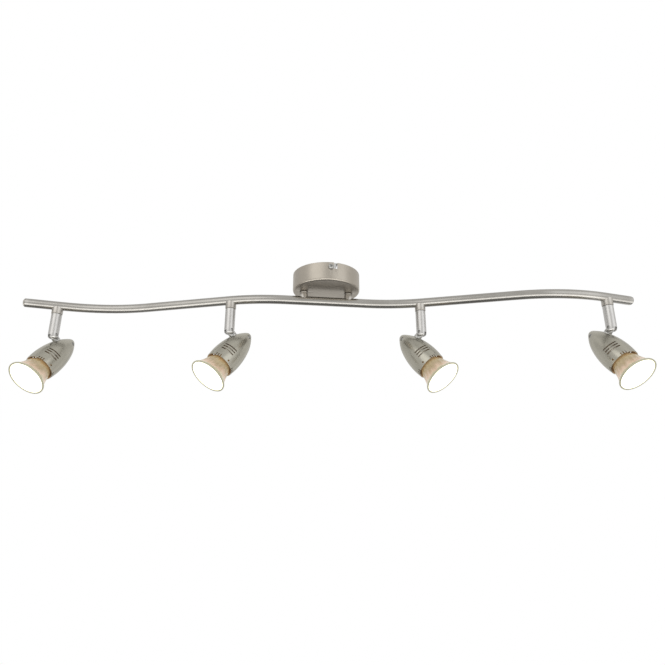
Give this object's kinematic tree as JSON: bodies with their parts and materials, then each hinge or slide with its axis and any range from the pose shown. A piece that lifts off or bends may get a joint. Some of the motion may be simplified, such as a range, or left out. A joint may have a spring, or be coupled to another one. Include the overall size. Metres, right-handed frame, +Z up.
{
  "type": "track lighting fixture",
  "caption": "Ceiling spotlight bar: round canopy, gently waved round tube and bullet heads with protruding reflector lamps that swivel and tilt.",
  "frame": {"origin": "centre of the ceiling plate top face, which lies on the ceiling", "axes": "+X along the bar to the right seen from the room, +Y away from the viewer, +Z up into the ceiling"},
  "size_m": [0.8208, 0.1056, 0.1624],
  "materials": {
    "nickel_canopy": "satin nickel plate, turned",
    "nickel_bar": "satin nickel plate, brushed along the tube",
    "nickel_housing": "satin nickel plate, lathe spun",
    "silver_arm": "bright satin, drawn",
    "steel_screw": "nickel plated steel",
    "zinc_plate": "zinc plated steel",
    "ceramic_white": "unglazed steatite",
    "polymer_block": "moulded",
    "dichroic_glass": "dichroic coated reflector, warm spill light",
    "lit_glass": "frosted by the lit lamp"
  },
  "bodies": {
    "fixture": {"canopy_cup": "nickel_canopy", "ceiling_plate": "zinc_plate", "cup_screw_front": "steel_screw", "cup_screw_rear": "steel_screw", "terminal_block": "polymer_block", "bar_tube": "nickel_bar", "bar_cap_left": "nickel_bar", "bar_cap_right": "nickel_bar", "post_left": "nickel_bar", "post_right": "nickel_bar", "post_nut_left": "zinc_plate", "post_nut_right": "zinc_plate", "collar_a": "nickel_bar", "collar_b": "nickel_bar", "collar_c": "nickel_bar", "collar_d": "nickel_bar"},
    "arm_a": {"swivel_tube_a": "zinc_plate", "arm_a": "silver_arm", "tilt_pin_a": "steel_screw"},
    "head_a": {"tilt_link_a": "silver_arm", "housing_a": "nickel_housing", "nose_rivet_a": "steel_screw", "holder_bracket_a": "zinc_plate", "lampholder_a": "ceramic_white"},
    "lamp_a": {"lamp_base_a": "ceramic_white", "lamp_reflector_a": "dichroic_glass", "lamp_glass_a": "lit_glass"},
    "arm_b": {"swivel_tube_b": "zinc_plate", "arm_b": "silver_arm", "tilt_pin_b": "steel_screw"},
    "head_b": {"tilt_link_b": "silver_arm", "housing_b": "nickel_housing", "nose_rivet_b": "steel_screw", "holder_bracket_b": "zinc_plate", "lampholder_b": "ceramic_white"},
    "lamp_b": {"lamp_base_b": "ceramic_white", "lamp_reflector_b": "dichroic_glass", "lamp_glass_b": "lit_glass"},
    "arm_c": {"swivel_tube_c": "zinc_plate", "arm_c": "silver_arm", "tilt_pin_c": "steel_screw"},
    "head_c": {"tilt_link_c": "silver_arm", "housing_c": "nickel_housing", "nose_rivet_c": "steel_screw", "holder_bracket_c": "zinc_plate", "lampholder_c": "ceramic_white"},
    "lamp_c": {"lamp_base_c": "ceramic_white", "lamp_reflector_c": "dichroic_glass", "lamp_glass_c": "lit_glass"},
    "arm_d": {"swivel_tube_d": "zinc_plate", "arm_d": "silver_arm", "tilt_pin_d": "steel_screw"},
    "head_d": {"tilt_link_d": "silver_arm", "housing_d": "nickel_housing", "nose_rivet_d": "steel_screw", "holder_bracket_d": "zinc_plate", "lampholder_d": "ceramic_white"},
    "lamp_d": {"lamp_base_d": "ceramic_white", "lamp_reflector_d": "dichroic_glass", "lamp_glass_d": "lit_glass"}
  },
  "joints": [
    {"name": "swivel_a", "type": "hinge", "parent": "fixture", "child": "arm_a", "pos_m": [-0.369, 0.01621, -0.05], "axis": [0, 0, 1], "range_deg": [-165, 165]},
    {"name": "tilt_a", "type": "hinge", "parent": "arm_a", "child": "head_a", "pos_m": [-0.369, 0.01621, -0.0799], "axis": [-0.9205, 0.3907, 0], "range_deg": [-42, 60]},
    {"name": "lamp_twist_a", "type": "hinge", "parent": "head_a", "child": "lamp_a", "pos_m": [-0.36232, 0.03194, -0.09529], "axis": [-0.2614, -0.6159, -0.7431], "range_deg": [0, 20]},
    {"name": "swivel_b", "type": "hinge", "parent": "fixture", "child": "arm_b", "pos_m": [-0.127, -0.0046, -0.05], "axis": [0, 0, 1], "range_deg": [-165, 165]},
    {"name": "tilt_b", "type": "hinge", "parent": "arm_b", "child": "head_b", "pos_m": [-0.127, -0.0046, -0.0799], "axis": [-0.6756, 0.7373, 0], "range_deg": [-41, 60]},
    {"name": "lamp_twist_b", "type": "hinge", "parent": "head_b", "child": "lamp_b", "pos_m": [-0.1142, 0.00713, -0.09499], "axis": [-0.4837, -0.4432, -0.7547], "range_deg": [0, 20]},
    {"name": "swivel_c", "type": "hinge", "parent": "fixture", "child": "arm_c", "pos_m": [0.127, 0.0046, -0.05], "axis": [0, 0, 1], "range_deg": [-165, 165]},
    {"name": "tilt_c", "type": "hinge", "parent": "arm_c", "child": "head_c", "pos_m": [0.127, 0.0046, -0.0799], "axis": [-0.6225, -0.7826, 0], "range_deg": [-41.5, 60]},
    {"name": "lamp_twist_c", "type": "hinge", "parent": "head_c", "child": "lamp_c", "pos_m": [0.11352, 0.01532, -0.09514], "axis": [0.5186, -0.4125, -0.749], "range_deg": [0, 20]},
    {"name": "swivel_d", "type": "hinge", "parent": "fixture", "child": "arm_d", "pos_m": [0.369, -0.01621, -0.05], "axis": [0, 0, 1], "range_deg": [-165, 165]},
    {"name": "tilt_d", "type": "hinge", "parent": "arm_d", "child": "head_d", "pos_m": [0.369, -0.01621, -0.0799], "axis": [-0.8988, -0.4384, 0], "range_deg": [-38.5, 60]},
    {"name": "lamp_twist_d", "type": "hinge", "parent": "head_d", "child": "lamp_d", "pos_m": [0.36111, -0.00003, -0.09422], "axis": [0.2729, -0.5595, -0.7826], "range_deg": [0, 20]}
  ]
}
